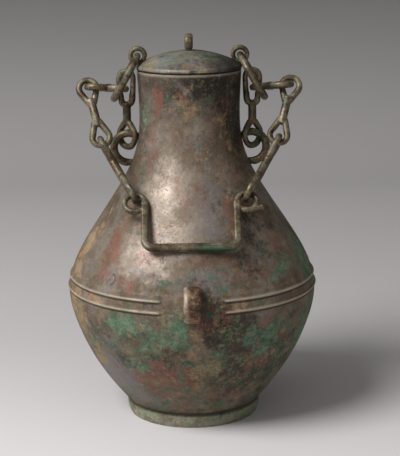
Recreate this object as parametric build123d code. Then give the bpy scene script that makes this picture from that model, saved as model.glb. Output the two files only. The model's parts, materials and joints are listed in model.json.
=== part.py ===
"""Lidded bronze hu: a wine flask with a round belly, a slender neck and a low
domed lid, carried by a square bail on two chains of four links.

Units are millimetres, +Z is up, the front of the flask looks along -Y.
The origin is the centre of the foot ring, on the ground.
The left-hand chain is built and then mirrored; each piece is its own file.
"""
import os
from math import acos, asin, cos, hypot, radians, sin, sqrt, tan

from build123d import *

os.makedirs("parts", exist_ok=True)

# Flask outline: radius at each height, foot to mouth
FOOT_R = 56.2          # foot ring where it stands
FOOT_LEDGE_R = 58.0    # rounded ledge on top of the foot ring
FOOT_H = 10.6          # height of the foot ring
FOOT_WALL = 6.5
FOOT_RECESS = 8.0      # hollow under the floor of the flask
JOIN_R = 57.2          # belly where it leaves the foot
JOIN_Z = 12.6
LOWER_R = 81.3
LOWER_Z = 44.0
FLANK_R = 100.2
FLANK_Z = 83.0
BELLY_R = 106.0        # widest girth
BELLY_Z = 112.0
SHOULDER_R = 89.2
SHOULDER_Z = 156.0
NECK_BASE_R = 58.2
NECK_BASE_Z = 204.0
NECK_R = 45.3          # foot of the straight neck
NECK_Z = 233.0
WAIST_R = 42.4         # slimmest part of the neck
WAIST_Z = 257.0
MOUTH_R = 44.0
MOUTH_Z = 298.5
WALL = 3.6
FLOOR = 7.0
PART_Z = 217.0         # height at which the casting is parted into body and neck

# Bowstring bands on the belly, broken where the lug stands
BAND_UPPER_Z = 124.6
BAND_LOWER_Z = 115.4
BAND_WIDTH = 3.0
BAND_RISE = 1.2
BAND_BREAK = 27.5      # degrees left open at the front

# Strap lug at the front of the belly
LUG_Z = 122.5
LUG_R = 14.5
LUG_STRAP = 4.4
LUG_WIDTH = 14.2

# Lid
LID_OVERHANG = 0.6     # rim beyond the mouth
LID_RIM = 3.4          # height of the rim's edge
LID_RISE = 12.1        # crown above the rim
LID_SKIN = 3.2
SPIGOT_WALL = 3.0
SPIGOT_DEPTH = 6.5
SPIGOT_PLAY = 0.5
KNOB_R = 7.6
KNOB_HOLE = 3.5
KNOB_WIDTH = 6.2
KNOB_RISE = 13.4       # knob above the crown

# Ears, as rings let into the lid and the neck
LID_EAR_INSET = 1.8    # centre of the ear inside the lid's edge
LID_EAR_RISE = 7.9     # and above the rim
LID_EAR_R = 5.8
LID_EAR_WIRE = 3.7
NECK_EAR_DROP = 66.7   # centre of the ear below the mouth
NECK_EAR_STAND = 6.3   # and out from the neck
NECK_EAR_R = 12.6
NECK_EAR_WIRE = 5.8

# Lid rings
RING_R = 20.2
RING_WIRE = 4.9
RING_LEAN = 30.0       # degrees that a hanging ring leans outward
RING_CLEAR = 0.9       # least gap between its foot and link 1

# Chain links
WIRE = 4.5             # eye wire
SHANK = 5.8
PLAY = 0.8             # gap between wires that hang in each other

NECK_LINK_STAND = 1.0  # link 1, upright beside the neck, out from the ear's centre
NECK_LINK_CLEAR = 0.7  # and at least this far out from the mouth
NECK_LINK_RISE = 14.6  # its top above the bridge
NECK_LINK_UPPER = 28.0
NECK_LINK_UPPER_R = 5.9
NECK_LINK_UPPER_FOOT_R = 4.7
NECK_LINK_LOWER = 21.0
NECK_LINK_LOWER_R = 8.9
NECK_LINK_LOWER_FOOT_R = 4.2
NECK_LINK_HANG = 11.6  # foot of link 1 below the ear's wire
NECK_LINK_TURN = 40.0  # twist of its lower eye

BRIDGE_TILT = 4.0      # link 2 rises outward through the lid ring
BRIDGE_ROLL = 10.0     # and is rolled by the pull of the chain in front
BRIDGE_LENGTH = 33.0
BRIDGE_WIRE = 4.7
BRIDGE_LIFT = 0.4      # play over the lid ring, to roll in
BRIDGE_OUTER_R = 8.0
BRIDGE_OUTER_NECK = 8.6
BRIDGE_INNER_R = 6.9
BRIDGE_INNER_NECK = 7.4

HANG_R = 7.25          # link 3, from the bridge to link 4
HANG_FOOT_R = 7.0
HANG_LENGTH = 59.0
HANG_FORWARD = 28.2    # degrees it leans forward, and towards the axis
HANG_INWARD = 16.6

LOW_R = 7.2            # link 4, from link 3 to the bail
LOW_FOOT_R = 7.8
LOW_LENGTH = 62.6
LOW_FORWARD = 35.9     # degrees it leans forward
LOW_TWIST_LEFT = 5.0
LOW_TWIST_RIGHT = 0.0

# Bail
BAIL_BAR = 5.4
BAIL_CORNER = 8.0
BAIL_ARM_X = 37.5
BAIL_DROP = 42.8       # from the eyes' centres down to the grip
BAIL_REST = 0.4        # gap at the shoulder, where the grip lies
BAIL_EYE_R = 8.2
BAIL_EYE_WIRE = 4.3
BAIL_EYE_PULL = 14.0   # degrees outward of its top where link 4 hangs in the eye
BAIL_TAIL = 13.0       # loose end of the right-hand eye


def side(shape):
    """The right-hand twin of a left-hand piece."""
    return mirror(shape, about=Plane.YZ)


def loop(far_r, near_r, reach, wire):
    """Eye of round wire in XY: a large bend at the origin, drawn in to a
    smaller bend on +X, the two joined by their common tangents."""
    a = acos((far_r - near_r) / reach)
    c, s = cos(a), sin(a)
    p1, p2 = (far_r * c, far_r * s), (far_r * c, -far_r * s)
    q1, q2 = (reach + near_r * c, near_r * s), (reach + near_r * c, -near_r * s)
    path = Wire([
        ThreePointArc(p1, (-far_r, 0), p2),
        Line(p2, q2),
        ThreePointArc(q2, (reach + near_r, 0), q1),
        Line(q1, p1),
    ])
    start = Plane(origin=path @ 0, z_dir=path % 0)
    return sweep(start * Circle(wire / 2), path=path)


def round_eye(r, neck, wire):
    """A teardrop eye whose point runs into the shank at distance neck."""
    return loop(r, wire * 0.56, neck, wire)


def rod(start, end, diameter):
    """Straight round bar between two points on the local X axis."""
    return Plane(origin=(start, 0, 0), x_dir=(0, 1, 0), z_dir=(1, 0, 0)) * Cylinder(
        diameter / 2, end - start, align=(Align.CENTER, Align.CENTER, Align.MIN))


def frame_along(origin, direction, normal):
    """Plane with X along the link and Z square to its first eye."""
    return Plane(origin=origin, x_dir=direction, z_dir=normal)


def direction_of(forward, inward):
    """Unit vector down the left-hand chain, leaning forward and inward."""
    return Vector(tan(radians(inward)), -tan(radians(forward)), -1).normalized()


# Flask body
outline = Spline(
    (JOIN_R, JOIN_Z), (LOWER_R, LOWER_Z), (FLANK_R, FLANK_Z), (BELLY_R, BELLY_Z),
    (SHOULDER_R, SHOULDER_Z), (NECK_BASE_R, NECK_BASE_Z), (NECK_R, NECK_Z),
    (WAIST_R, WAIST_Z), (MOUTH_R, MOUTH_Z))
hollow_points = []
for step in range(1, 24):
    p, t = outline @ (step / 24), outline % (step / 24)
    hollow_points.append((p.X - WALL * t.Y, p.Y + WALL * t.X))
floor_z = FOOT_RECESS + FLOOR
hollow_points = [q for q in hollow_points if q[1] > floor_z + WALL]
floor_r = hollow_points[0][0] - WALL * 1.6
hollow = Spline((floor_r, floor_z), *hollow_points, (MOUTH_R - WALL, MOUTH_Z),
                tangents=[(1.0, 0.25), (0.04, 1.0)])
section = make_face([
    outline,
    Line((MOUTH_R, MOUTH_Z), (MOUTH_R - WALL, MOUTH_Z)),
    hollow,
    Polyline((floor_r, floor_z), (0, floor_z), (0, FOOT_RECESS), (FOOT_R - FOOT_WALL, FOOT_RECESS),
             (FOOT_R - FOOT_WALL, 0), (FOOT_R, 0), (FOOT_LEDGE_R - 0.6, FOOT_H - 2.0)),
    ThreePointArc((FOOT_LEDGE_R - 0.6, FOOT_H - 2.0), (FOOT_LEDGE_R, FOOT_H - 0.8),
                  (FOOT_LEDGE_R - 1.1, FOOT_H)),
    Polyline((FOOT_LEDGE_R - 1.1, FOOT_H), (JOIN_R - 1.4, FOOT_H + 0.5), (JOIN_R, JOIN_Z)),
])
body = revolve(Plane.XZ * section, axis=Axis.Z)
solid_section = make_face([
    outline,
    Polyline((MOUTH_R, MOUTH_Z), (0, MOUTH_Z), (0, JOIN_Z), (JOIN_R, JOIN_Z)),
])
full_body = revolve(Plane.XZ * solid_section, axis=Axis.Z)


def outline_radius(z):
    """Outer radius of the flask at a height, by halving."""
    low, high = 0.0, 1.0
    for _ in range(40):
        mid = (low + high) / 2
        if (outline @ mid).Y < z:
            low = mid
        else:
            high = mid
    return (outline @ low).X


for band_z in (BAND_UPPER_Z, BAND_LOWER_Z):
    r = outline_radius(band_z)
    sag = outline_radius(band_z - BAND_WIDTH / 2) - outline_radius(band_z + BAND_WIDTH / 2)
    foot = Vector(r, band_z)
    along = Vector(-sag, BAND_WIDTH).normalized() * (BAND_WIDTH / 2)
    out = Vector(BAND_WIDTH, sag).normalized()
    a, b = foot - along - out * 0.8, foot + along - out * 0.8
    ridge = make_face([ThreePointArc(a, foot + out * BAND_RISE, b), Line(b, a)])
    start = -90 + BAND_BREAK / 2
    band = revolve(Plane.XZ * ridge, axis=Axis.Z, revolution_arc=360 - BAND_BREAK)
    body = body + Rotation(0, 0, start) * band

# One casting, kept as two plain forms that meet face to face at the foot of the neck
parting = Plane.XY.offset(PART_Z)
neck = split(body, parting, keep=Keep.TOP)
body = split(body, parting, keep=Keep.BOTTOM)

# Strap lug on the belly
lug_seat = outline_radius(LUG_Z)
strap = Plane.YZ * (Circle(LUG_R) - Circle(LUG_R - LUG_STRAP))
strap = extrude(strap, LUG_WIDTH / 2, both=True)
strap = fillet(strap.edges().filter_by(GeomType.CIRCLE), LUG_STRAP * 0.42)
lug = Pos(0, -lug_seat, LUG_Z) * strap
lug = (lug - full_body - body).solids().sort_by(SortBy.VOLUME)[-1]

# Lid with its crown, rim and spigot
lid_r = MOUTH_R + LID_OVERHANG
spig_out = min(outline_radius(MOUTH_Z - SPIGOT_DEPTH), MOUTH_R) - WALL - SPIGOT_PLAY
rim_top = MOUTH_Z + LID_RIM
crown_top = rim_top + LID_RISE
edge_r = lid_r - 0.5
crown_r = (edge_r ** 2 + LID_RISE ** 2) / (2 * LID_RISE)
under_r = crown_r - LID_SKIN
spig_in = spig_out - SPIGOT_WALL


def crown_z(r, radius):
    """Height of the crown, or of its underside, at a distance from the axis."""
    return crown_top - crown_r + sqrt(radius ** 2 - r ** 2)


lid_section = make_face([
    Line((spig_out, MOUTH_Z), (lid_r - 0.6, MOUTH_Z)),
    Line((lid_r - 0.6, MOUTH_Z), (lid_r, MOUTH_Z + 0.6)),
    Line((lid_r, MOUTH_Z + 0.6), (lid_r, rim_top - 0.6)),
    Line((lid_r, rim_top - 0.6), (edge_r, rim_top)),
    ThreePointArc((edge_r, rim_top), (edge_r / 2, crown_z(edge_r / 2, crown_r)), (0, crown_top)),
    Line((0, crown_top), (0, crown_top - LID_SKIN)),
    ThreePointArc((0, crown_top - LID_SKIN), (spig_in / 2, crown_z(spig_in / 2, under_r)),
                  (spig_in, crown_z(spig_in, under_r))),
    Line((spig_in, crown_z(spig_in, under_r)), (spig_in, MOUTH_Z - SPIGOT_DEPTH)),
    Line((spig_in, MOUTH_Z - SPIGOT_DEPTH), (spig_out - 0.8, MOUTH_Z - SPIGOT_DEPTH)),
    Line((spig_out - 0.8, MOUTH_Z - SPIGOT_DEPTH), (spig_out, MOUTH_Z - SPIGOT_DEPTH + 1.6)),
    Line((spig_out, MOUTH_Z - SPIGOT_DEPTH + 1.6), (spig_out, MOUTH_Z)),
])
lid = revolve(Plane.XZ * lid_section, axis=Axis.Z)

knob = Plane.YZ * (Circle(KNOB_R) - Circle(KNOB_HOLE))
knob = extrude(knob, KNOB_WIDTH / 2, both=True)
knob = fillet(knob.edges().filter_by(GeomType.CIRCLE), KNOB_WIDTH * 0.28)
knob = Pos(0, 0, crown_top + KNOB_RISE - KNOB_R) * knob
knob = (knob - lid).solids().sort_by(SortBy.VOLUME)[-1]

# Ears: rings standing across the lid's edge and on the neck
ear_centre = Vector(LID_EAR_INSET - lid_r, 0, rim_top + LID_EAR_RISE)
neck_ear_z = MOUTH_Z - NECK_EAR_DROP
neck_ear_x = outline_radius(neck_ear_z) + NECK_EAR_STAND
lid_ear = Pos(ear_centre) * Rotation(90, 0, 0) * Torus(LID_EAR_R, LID_EAR_WIRE / 2)
lid_ear = (lid_ear - lid).solids().sort_by(SortBy.VOLUME)[-1]
neck_ear = Pos(-neck_ear_x, 0, neck_ear_z) * Rotation(90, 0, 0) * Torus(NECK_EAR_R, NECK_EAR_WIRE / 2)
neck_ear = (neck_ear - full_body).solids().sort_by(SortBy.VOLUME)[-1]

# Lid ring, hanging in its ear and leaning outward past link 1
neck_link_x = max(neck_ear_x + NECK_LINK_STAND, MOUTH_R + NECK_LINK_CLEAR + NECK_LINK_UPPER_R + WIRE / 2)
ring_reach = LID_EAR_R - LID_EAR_WIRE / 2 - RING_WIRE / 2 - PLAY + 2 * RING_R
past_link = neck_link_x + NECK_LINK_UPPER_FOOT_R + WIRE / 2 + RING_CLEAR + RING_WIRE / 2
ring_lean = max(radians(RING_LEAN), asin((past_link + ear_centre.X) / ring_reach))
lean = Vector(-sin(ring_lean), 0, -cos(ring_lean))
ear_wire = ear_centre + lean * LID_EAR_R
ring_top = ear_wire - lean * (LID_EAR_WIRE / 2 + RING_WIRE / 2 + PLAY)
ring_centre = ring_top + lean * RING_R
ring_foot = ring_centre + lean * RING_R
ring = Plane(origin=ring_centre, x_dir=lean, z_dir=lean.cross(Vector(0, 1, 0))) * Torus(
    RING_R, RING_WIRE / 2)

# Link 1, upright beside the neck: a tall upper eye and a twisted lower eye
ear_arm_z = neck_ear_z + sqrt(NECK_EAR_R ** 2 - (neck_link_x - neck_ear_x) ** 2)
neck_link_foot = ear_arm_z - NECK_LINK_HANG
upper_reach = NECK_LINK_UPPER - NECK_LINK_UPPER_R - NECK_LINK_UPPER_FOOT_R
lower_reach = NECK_LINK_LOWER - NECK_LINK_LOWER_R - NECK_LINK_LOWER_FOOT_R
upper_draw = (NECK_LINK_UPPER_R - NECK_LINK_UPPER_FOOT_R) / upper_reach
upper_half = (NECK_LINK_UPPER_R - (NECK_LINK_RISE - NECK_LINK_UPPER_R) * upper_draw) / sqrt(1 - upper_draw ** 2)

# Link 2, the bridge: both eyes lie flat, the shank rests on the foot of the lid ring
tilt = radians(BRIDGE_TILT)
outward = Vector(-cos(tilt), 0, sin(tilt))
square_up = Vector(sin(tilt), 0, cos(tilt))
eye_sag = RING_R - sqrt(RING_R ** 2 - BRIDGE_INNER_R ** 2) + BRIDGE_INNER_R * sin(radians(BRIDGE_ROLL))
rest = ring_foot + square_up * (RING_WIRE / 2 + BRIDGE_WIRE / 2 + PLAY + BRIDGE_LIFT + eye_sag)
bridge_at = neck_link_x + upper_half - WIRE / 2 - BRIDGE_WIRE / 2 - PLAY
bridge_in = rest - outward * ((bridge_at + rest.X) / outward.X)
inner_eye = Pos(BRIDGE_INNER_R, 0, 0) * round_eye(BRIDGE_INNER_R, BRIDGE_INNER_NECK, BRIDGE_WIRE)
outer_eye = Pos(BRIDGE_LENGTH - BRIDGE_OUTER_R, 0, 0) * Rotation(0, 0, 180) * round_eye(
    BRIDGE_OUTER_R, BRIDGE_OUTER_NECK, BRIDGE_WIRE)
link_2 = inner_eye + rod(BRIDGE_INNER_R + BRIDGE_INNER_NECK - WIRE * 0.4,
                         BRIDGE_LENGTH - BRIDGE_OUTER_R - BRIDGE_OUTER_NECK + WIRE * 0.4, SHANK) + outer_eye
bridge_normal = square_up * cos(radians(BRIDGE_ROLL)) + Vector(0, 1, 0) * sin(radians(BRIDGE_ROLL))
link_2 = frame_along(bridge_in, outward, bridge_normal) * link_2
bridge_end = bridge_in + outward * BRIDGE_LENGTH
neck_link_top = bridge_in.Z + NECK_LINK_RISE
neck_link_length = neck_link_top - neck_link_foot
upper_eye = Pos(NECK_LINK_UPPER_R, 0, 0) * loop(NECK_LINK_UPPER_R, NECK_LINK_UPPER_FOOT_R, upper_reach, WIRE)
lower_eye = Rotation(0, 0, 180) * loop(NECK_LINK_LOWER_R, NECK_LINK_LOWER_FOOT_R, lower_reach, WIRE)
lower_eye = Pos(neck_link_length - NECK_LINK_LOWER_R, 0, 0) * Rotation(NECK_LINK_TURN, 0, 0) * lower_eye
link_1 = upper_eye + rod(NECK_LINK_UPPER - WIRE * 0.3,
                         neck_link_length - NECK_LINK_LOWER + WIRE * 0.3, SHANK) + lower_eye
link_1 = frame_along((-neck_link_x, 0, neck_link_top), (0, 0, -1), (0, 1, 0)) * link_1


def plain_link(top_r, foot_r, length):
    """Straight link along +X from the centre of its first end wire."""
    top_neck, foot_neck = top_r * 1.6, foot_r * 1.75
    first = Pos(top_r, 0, 0) * round_eye(top_r, top_neck, WIRE)
    last = Pos(length - foot_r, 0, 0) * Rotation(0, 0, 180) * round_eye(foot_r, foot_neck, WIRE)
    return first + rod(top_r + top_neck - WIRE * 0.4, length - foot_r - foot_neck + WIRE * 0.4, SHANK) + last


# Link 3, hanging in front of the bridge with both eyes facing forward
hang = direction_of(HANG_FORWARD, HANG_INWARD)
hang_top = bridge_end - hang * (BRIDGE_WIRE / 2 + WIRE / 2 + PLAY)
hang_foot = hang_top + hang * HANG_LENGTH
across = (Vector(1, 0, 0) - hang * hang.X).normalized()
hang_frame = frame_along(hang_top, hang, hang.cross(across))
link_3 = hang_frame * plain_link(HANG_R, HANG_FOOT_R, HANG_LENGTH)

# Link 4, down to the bail's eye, turned about its own length
eye_x = BAIL_ARM_X + BAIL_EYE_R
pull_x = -eye_x - BAIL_EYE_R * sin(radians(BAIL_EYE_PULL))
upper_gap, lower_gap = WIRE + PLAY, WIRE / 2 + BAIL_EYE_WIRE / 2 + PLAY
low_x = (pull_x - hang_foot.X) / (LOW_LENGTH - upper_gap - lower_gap)
low_yz = sqrt(1 - low_x ** 2)
low = Vector(low_x, -low_yz * sin(radians(LOW_FORWARD)), -low_yz * cos(radians(LOW_FORWARD)))
low_top = hang_foot - low * upper_gap
low_foot = low_top + low * LOW_LENGTH
eye_pull = low_foot - low * lower_gap
low_across = (Vector(1, 0, 0) - low * low.X).normalized()
low_frame = frame_along(low_top, low, low_across)
link_4 = low_frame * Rotation(LOW_TWIST_LEFT, 0, 0) * plain_link(LOW_R, LOW_FOOT_R, LOW_LENGTH)
link_4_right = low_frame * Rotation(LOW_TWIST_RIGHT, 0, 0) * plain_link(LOW_R, LOW_FOOT_R, LOW_LENGTH)

# Bail: a square bar bent to three sides, its ends curled into eyes
eye_up = BAIL_EYE_R * cos(radians(BAIL_EYE_PULL))
shoulder_line = [outline @ (i / 400) for i in range(401)]


def grip_gap(slope):
    """Gap between the grip and the flask when the bail lies at this slope."""
    y = eye_pull.Y - (eye_up + BAIL_DROP) * cos(slope)
    z = eye_pull.Z - (eye_up + BAIL_DROP) * sin(slope)
    near = min(hypot(-y - p.X, z - p.Y) for p in shoulder_line)
    return near * (1 if -y > outline_radius(z) else -1) - BAIL_BAR * 0.56


level, steep = 0.0, radians(85)
for _ in range(30):
    slope = (level + steep) / 2
    if grip_gap(slope) > BAIL_REST:
        level = slope
    else:
        steep = slope
down = Vector(0, -cos(slope), -sin(slope))
face = Vector(0, -sin(slope), cos(slope))
eye_centre = Vector(-eye_x, eye_pull.Y, eye_pull.Z) + down * eye_up
bail_frame = Plane(origin=(0, eye_centre.Y, eye_centre.Z), x_dir=(1, 0, 0), z_dir=face)
bail_path = FilletPolyline((-BAIL_ARM_X, 0), (-BAIL_ARM_X, -BAIL_DROP), (BAIL_ARM_X, -BAIL_DROP),
                           (BAIL_ARM_X, 0), radius=BAIL_CORNER)
bail_start = Plane(origin=bail_path @ 0, x_dir=(0, 0, 1), z_dir=bail_path % 0)
bail = sweep(bail_start * RectangleRounded(BAIL_BAR, BAIL_BAR, BAIL_BAR * 0.24), path=bail_path)
for way in (-1, 1):
    bail = bail + Pos(way * eye_x, 0, 0) * Torus(BAIL_EYE_R, BAIL_EYE_WIRE / 2)
tail_at = Vector(eye_x, -BAIL_EYE_R, 0)
tail_turn = Plane(origin=tail_at, x_dir=(0, 0, 1), z_dir=(cos(radians(14)), sin(radians(14)), 0))
tail = tail_turn * Cylinder(BAIL_EYE_WIRE * 0.44, BAIL_TAIL, align=(Align.CENTER, Align.CENTER, Align.MIN))
bail = bail_frame * (bail + tail)

pieces = {
    "vessel_body": body,
    "vessel_neck": neck,
    "belly_lug": lug,
    "left_neck_ear": neck_ear,
    "right_neck_ear": side(neck_ear),
    "lid": lid,
    "lid_knob": knob,
    "left_lid_ear": lid_ear,
    "right_lid_ear": side(lid_ear),
    "left_lid_ring": ring,
    "right_lid_ring": side(ring),
    "left_neck_link": link_1,
    "right_neck_link": side(link_1),
    "left_bridge_link": link_2,
    "right_bridge_link": side(link_2),
    "left_hanging_link": link_3,
    "right_hanging_link": side(link_3),
    "left_lower_link": link_4,
    "right_lower_link": side(link_4_right),
    "bail_handle": bail,
}
for name, shape in pieces.items():
    export_step(shape, f"parts/{name}.step")

for name, point in (("lid ear wire", ear_wire), ("ring foot", ring_foot), ("neck ear arm", Vector(0, 0, ear_arm_z)),
                    ("bridge in", bridge_in), ("bridge end", bridge_end), ("hang top", hang_top),
                    ("hang foot", hang_foot), ("low top", low_top), ("low foot", low_foot),
                    ("bail eye pull", eye_pull), ("bail eye centre", eye_centre)):
    print(f"{name}: {point.X:.2f} {point.Y:.2f} {point.Z:.2f}")
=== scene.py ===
"""Dresses a lidded bronze hu: a turned flask, a domed lid and a bail on two chains.

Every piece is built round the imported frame, in metres, with +Z up and the front along -Y.
The flask is turned from its own half section. The other pieces are cast skins grown
over the solids, so that the wires run into their shanks as cast metal does.
"""
import json
from functools import cache
from math import cos, pi, radians, sin

import bpy
import numpy as np
from bpy.props import FloatProperty, FloatVectorProperty, IntProperty, PointerProperty
from bpy.types import Operator, Panel, PropertyGroup
from mathutils import Matrix, Vector
from mathutils.bvhtree import BVHTree

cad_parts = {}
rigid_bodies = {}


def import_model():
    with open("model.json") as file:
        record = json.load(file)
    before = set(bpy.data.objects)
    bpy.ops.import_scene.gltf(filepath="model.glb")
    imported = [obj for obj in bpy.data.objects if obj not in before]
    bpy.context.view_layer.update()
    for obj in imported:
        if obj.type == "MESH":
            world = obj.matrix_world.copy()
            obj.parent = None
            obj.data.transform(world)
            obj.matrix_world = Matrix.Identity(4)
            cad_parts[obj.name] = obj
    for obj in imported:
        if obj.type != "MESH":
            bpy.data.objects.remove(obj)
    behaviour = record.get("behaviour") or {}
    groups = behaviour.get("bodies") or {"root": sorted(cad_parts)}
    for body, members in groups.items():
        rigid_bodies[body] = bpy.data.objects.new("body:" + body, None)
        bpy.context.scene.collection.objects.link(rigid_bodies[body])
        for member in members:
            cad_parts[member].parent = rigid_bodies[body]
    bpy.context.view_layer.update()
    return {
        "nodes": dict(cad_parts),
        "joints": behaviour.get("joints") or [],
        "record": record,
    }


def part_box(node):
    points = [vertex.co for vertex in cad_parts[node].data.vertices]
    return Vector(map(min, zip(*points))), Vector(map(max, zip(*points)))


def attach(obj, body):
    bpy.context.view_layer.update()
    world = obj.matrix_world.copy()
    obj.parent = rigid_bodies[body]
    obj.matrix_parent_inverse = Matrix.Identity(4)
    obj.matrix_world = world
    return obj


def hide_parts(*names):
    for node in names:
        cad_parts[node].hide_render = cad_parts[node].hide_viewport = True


bl_info = {
    "name": "Bronze Hu Dresser",
    "version": (1, 0, 0),
    "blender": (4, 5, 0),
    "location": "View3D > Sidebar > Hu",
    "description": "Builds the patinated skins, the stage and the camera of a chained bronze flask",
    "category": "Add Mesh",
}

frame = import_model()
MM = 0.001

FLASK = ("vessel_body", "vessel_neck")
NECK_EARS = ("left_neck_ear", "right_neck_ear")
LID_FITTINGS = ("lid_knob", "left_lid_ear", "right_lid_ear")
RINGS = ("left_lid_ring", "right_lid_ring")
LINKS = tuple(
    f"{hand}_{link}_link"
    for hand in ("left", "right")
    for link in ("neck", "bridge", "hanging", "lower")
)
NODE_BODY = {
    node: body
    for body, nodes in frame["record"]["behaviour"]["bodies"].items()
    for node in nodes
}
COUPLINGS = frame["record"]["behaviour"]["couplings"]


class Field:
    """A node socket that takes part in Python expressions."""

    def __init__(self, graph, socket):
        self.graph = graph
        self.socket = socket

    def math(self, operation, first, second):
        return self.graph.add("ShaderNodeMath", {0: first, 1: second}, operation=operation)

    def __add__(self, other):
        return self.math("ADD", self, other)

    __radd__ = __add__

    def __sub__(self, other):
        return self.math("SUBTRACT", self, other)

    def __rsub__(self, other):
        return self.math("SUBTRACT", other, self)

    def __mul__(self, other):
        return self.math("MULTIPLY", self, other)

    __rmul__ = __mul__

    def __truediv__(self, other):
        return self.math("DIVIDE", self, other)

    def __rtruediv__(self, other):
        return self.math("DIVIDE", other, self)


class Graph:
    """Adds nodes to a tree: one method for any node, and a few named shapes on top."""

    def __init__(self, tree):
        self.tree = tree

    def add(self, kind, inputs=None, output=0, **settings):
        node = self.tree.nodes.new(kind)
        for name, value in settings.items():
            setattr(node, name, value)
        for key, value in (inputs or {}).items():
            if isinstance(value, Field):
                self.tree.links.new(value.socket, node.inputs[key])
            else:
                node.inputs[key].default_value = value
        return Field(self, node.outputs[output]) if len(node.outputs) else node

    def twin(self, field, output):
        """Another output of the node that a field comes from."""
        return Field(self, field.socket.node.outputs[output])

    def most(self, first, second):
        return self.add("ShaderNodeMath", {0: first, 1: second}, operation="MAXIMUM")

    def least(self, first, second):
        return self.add("ShaderNodeMath", {0: first, 1: second}, operation="MINIMUM")

    def size(self, field):
        return self.add("ShaderNodeMath", {0: field}, operation="ABSOLUTE")

    def step(self, field, low, high):
        """Smooth step from 0 at low to 1 at high; low may be the larger."""
        return self.add(
            "ShaderNodeMapRange",
            {"Value": field, "From Min": low, "From Max": high},
            interpolation_type="SMOOTHSTEP",
        )

    def vector(self, operation, first, second, output="Vector"):
        return self.add("ShaderNodeVectorMath", {0: first, 1: second}, output, operation=operation)

    def parts(self, field):
        """The three numbers of a vector."""
        split = self.add("ShaderNodeSeparateXYZ", {0: field})
        return split, self.twin(split, 1), self.twin(split, 2)

    def join(self, x, y, z):
        return self.add("ShaderNodeCombineXYZ", {0: x, 1: y, 2: z})

    def noise(self, at, scale, detail=4.0, rough=0.55, shift=0.0):
        """Noise from 0 to 1 with about 1/scale metres to a feature."""
        return self.add(
            "ShaderNodeTexNoise",
            {"Vector": at, "W": shift, "Scale": scale, "Detail": detail, "Roughness": rough},
            noise_dimensions="4D",
        )

    def blend(self, mask, under, over):
        """Colour over another by a mask."""
        return self.add(
            "ShaderNodeMix", {0: mask, 6: under, 7: over}, 2, data_type="RGBA", clamp_factor=True
        )


def rgba(colour):
    return (*colour, 1.0)


class HuShape(PropertyGroup):
    """Sizes of the skins that a user would change."""

    columns: IntProperty(
        name="Columns", description="Divisions round the flask", default=384, min=96, max=420
    )
    wave_height: FloatProperty(
        name="Wave", description="Unevenness of the flask's wall", default=0.7 * MM, subtype="DISTANCE"
    )
    band_rise: FloatProperty(
        name="Band rise", description="Height of a bowstring band", default=1.25 * MM, subtype="DISTANCE"
    )
    band_width: FloatProperty(
        name="Band width", description="Width of a bowstring band", default=3.2 * MM, subtype="DISTANCE"
    )
    band_upper: FloatProperty(
        name="Upper band", description="Height of the upper band", default=124.6 * MM, subtype="DISTANCE"
    )
    band_lower: FloatProperty(
        name="Lower band", description="Height of the lower band", default=115.4 * MM, subtype="DISTANCE"
    )
    band_break: FloatProperty(
        name="Band break", description="Angle left open at the front", default=radians(27.5), subtype="ANGLE"
    )
    link_voxel: FloatProperty(
        name="Link voxel", description="Fineness of the cast links", default=0.45 * MM, subtype="DISTANCE"
    )
    lid_voxel: FloatProperty(
        name="Lid voxel", description="Fineness of the lid", default=0.55 * MM, subtype="DISTANCE"
    )


def colour_property(name, description, default):
    return FloatVectorProperty(
        name=name, description=description, default=default, subtype="COLOR", size=3, min=0.0, max=1.0
    )


class HuFinish(PropertyGroup):
    """Colours of the bronze and its patina, one of which also paints shade."""

    bronze: colour_property("Bronze", "Satin metal where it is clean", (0.31, 0.262, 0.215))
    umber: colour_property("Umber", "Brown oxide over the metal", (0.115, 0.078, 0.048))
    slate: colour_property("Slate", "Cool grey oxide", (0.175, 0.17, 0.178))
    # Soot is dark oxide in stains, pores and hollows, and also the colour of the painted shade and painted
    # shadows on the flask and the lid
    soot_and_shade: colour_property("Soot", "Darkest oxide, in hollows and stains", (0.02, 0.0145, 0.0105))
    cuprite: colour_property("Cuprite", "Red oxide", (0.23, 0.082, 0.06))
    malachite: colour_property("Malachite", "Green crust", (0.04, 0.135, 0.075))
    verdigris: colour_property("Verdigris", "Pale green bloom", (0.215, 0.28, 0.185))
    ochre: colour_property("Ochre", "Earth left in the crust", (0.37, 0.24, 0.12))
    worn: colour_property("Worn", "Metal rubbed bright on edges", (0.5, 0.435, 0.33))


class HuStage(PropertyGroup):
    """Floor, light and camera."""

    # The sweep's colours behind the flask and higher up are painted shade, darker than the paper for the
    # light's fall-off
    floor: colour_property("Floor", "Paper sweep before the flask", (0.69, 0.662, 0.667))
    shaded_beyond: colour_property("Beyond", "Paper sweep behind the flask", (0.55, 0.527, 0.532))
    shaded_backdrop: colour_property("Backdrop", "Paper sweep higher up", (0.105, 0.099, 0.101))
    key_power: FloatProperty(name="Key", description="Power of the key light", default=33.0, unit="POWER")
    fill_power: FloatProperty(name="Fill", description="Power of the fill light", default=6.0, unit="POWER")
    ambient: FloatProperty(name="Ambient", description="Strength of the even light", default=0.29)
    eye_distance: FloatProperty(
        name="Distance", description="Camera in front of the axis", default=1.1736, subtype="DISTANCE"
    )
    eye_height: FloatProperty(
        name="Height", description="Camera above the floor", default=0.4333, subtype="DISTANCE"
    )
    pitch: FloatProperty(name="Pitch", description="Camera looks down", default=0.228, subtype="ANGLE")
    yaw: FloatProperty(name="Yaw", description="Camera looks to the right", default=0.0064, subtype="ANGLE")
    lean: FloatProperty(name="Lean", description="Camera leans to its right", default=0.013, subtype="ANGLE")
    lens: FloatProperty(name="Lens", description="Focal length on a 36 mm sensor", default=110.5)


# Patina

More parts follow.
